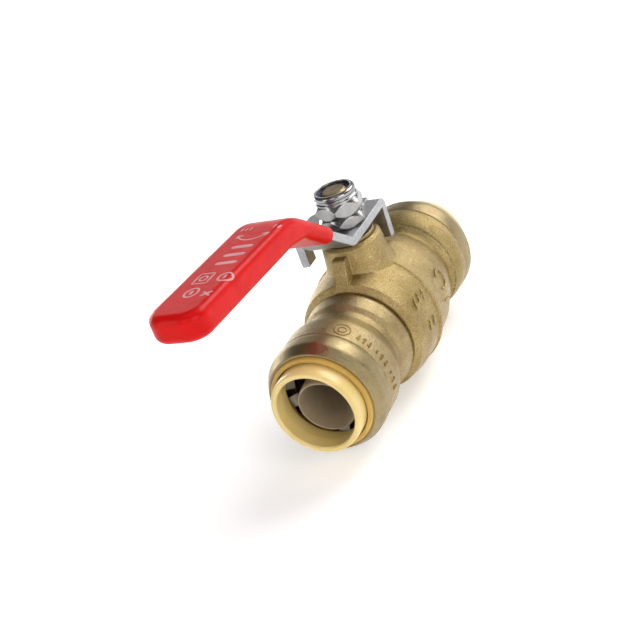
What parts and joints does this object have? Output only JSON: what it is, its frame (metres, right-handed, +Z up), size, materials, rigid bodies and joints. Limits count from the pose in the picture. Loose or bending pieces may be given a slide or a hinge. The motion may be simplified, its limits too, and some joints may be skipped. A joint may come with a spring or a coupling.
{
  "type": "water shutoff valve",
  "caption": "Brass quarter-turn ball valve with a push-connect tube socket at each end and a bent steel lever in a red vinyl sleeve.",
  "frame": {"origin": "centre of the inlet's bore at its outer end, on the tube axis", "axes": "+X out of the inlet along the tube axis, +Z up the stem, the lever open and lying along +X over the inlet"},
  "size_m": [0.1386, 0.0396, 0.0776],
  "materials": {
    "cast_brass": "satin cast brass",
    "turned_brass": "satin turned brass",
    "ball_chrome": "polished chrome plate",
    "seat_ptfe": "white fluoropolymer",
    "seal_rubber": "black rubber",
    "zinc_steel": "zinc plated, satin",
    "bright_nut": "bright zinc plate",
    "insert_nylon": "blue nylon",
    "red_vinyl": "soft glossy vinyl",
    "collar_acetal": "cream acetal, slightly glossy",
    "ring_acetal": "cream acetal",
    "liner_plastic": "tan plastic",
    "teeth_steel": "stainless spring steel",
    "protector_plastic": "dark grey plastic"
  },
  "bodies": {
    "valve": {"valve_body": "cast_brass", "inlet_tail": "turned_brass", "body_seal": "seal_rubber", "inlet_seat": "seat_ptfe", "outlet_seat": "seat_ptfe", "stem_thrust_washer": "seat_ptfe", "stem_packing": "seat_ptfe", "stem_o_ring": "seal_rubber", "gland_nut": "turned_brass", "inlet_end_cap": "turned_brass", "inlet_retaining_ring": "ring_acetal", "inlet_grab_ring": "teeth_steel", "inlet_o_ring_protector": "protector_plastic", "inlet_tube_o_ring": "seal_rubber", "inlet_tube_liner": "liner_plastic", "outlet_end_cap": "turned_brass", "outlet_retaining_ring": "ring_acetal", "outlet_grab_ring": "teeth_steel", "outlet_o_ring_protector": "protector_plastic", "outlet_tube_o_ring": "seal_rubber", "outlet_tube_liner": "liner_plastic"},
    "lever": {"stem": "turned_brass", "lever_plate": "zinc_steel", "lever_sleeve": "red_vinyl", "jam_nut": "bright_nut", "lock_nut": "bright_nut", "lock_nut_insert": "insert_nylon"},
    "ball": {"ball": "ball_chrome"},
    "inlet_collar": {"inlet_release_collar": "collar_acetal"},
    "outlet_collar": {"outlet_release_collar": "collar_acetal"}
  },
  "joints": [
    {"name": "lever_turn", "type": "hinge", "parent": "valve", "child": "lever", "pos_m": [-0.0504, 0, 0], "axis": [0, 0, 1], "range_deg": [-90, 0]},
    {"name": "ball_turn", "type": "hinge", "parent": "valve", "child": "ball", "pos_m": [-0.0504, 0, 0], "axis": [0, 0, 1], "range_deg": [-90, 0]},
    {"name": "inlet_collar_push", "type": "slide", "parent": "valve", "child": "inlet_collar", "axis": [-1, 0, 0], "range_m": [0, 0.0018], "stiffness_N_per_m": 400},
    {"name": "outlet_collar_push", "type": "slide", "parent": "valve", "child": "outlet_collar", "axis": [1, 0, 0], "range_m": [0, 0.0018], "stiffness_N_per_m": 400}
  ],
  "couplings": [
    {"joint": "ball_turn", "follows": "lever_turn", "ratio": 1}
  ]
}
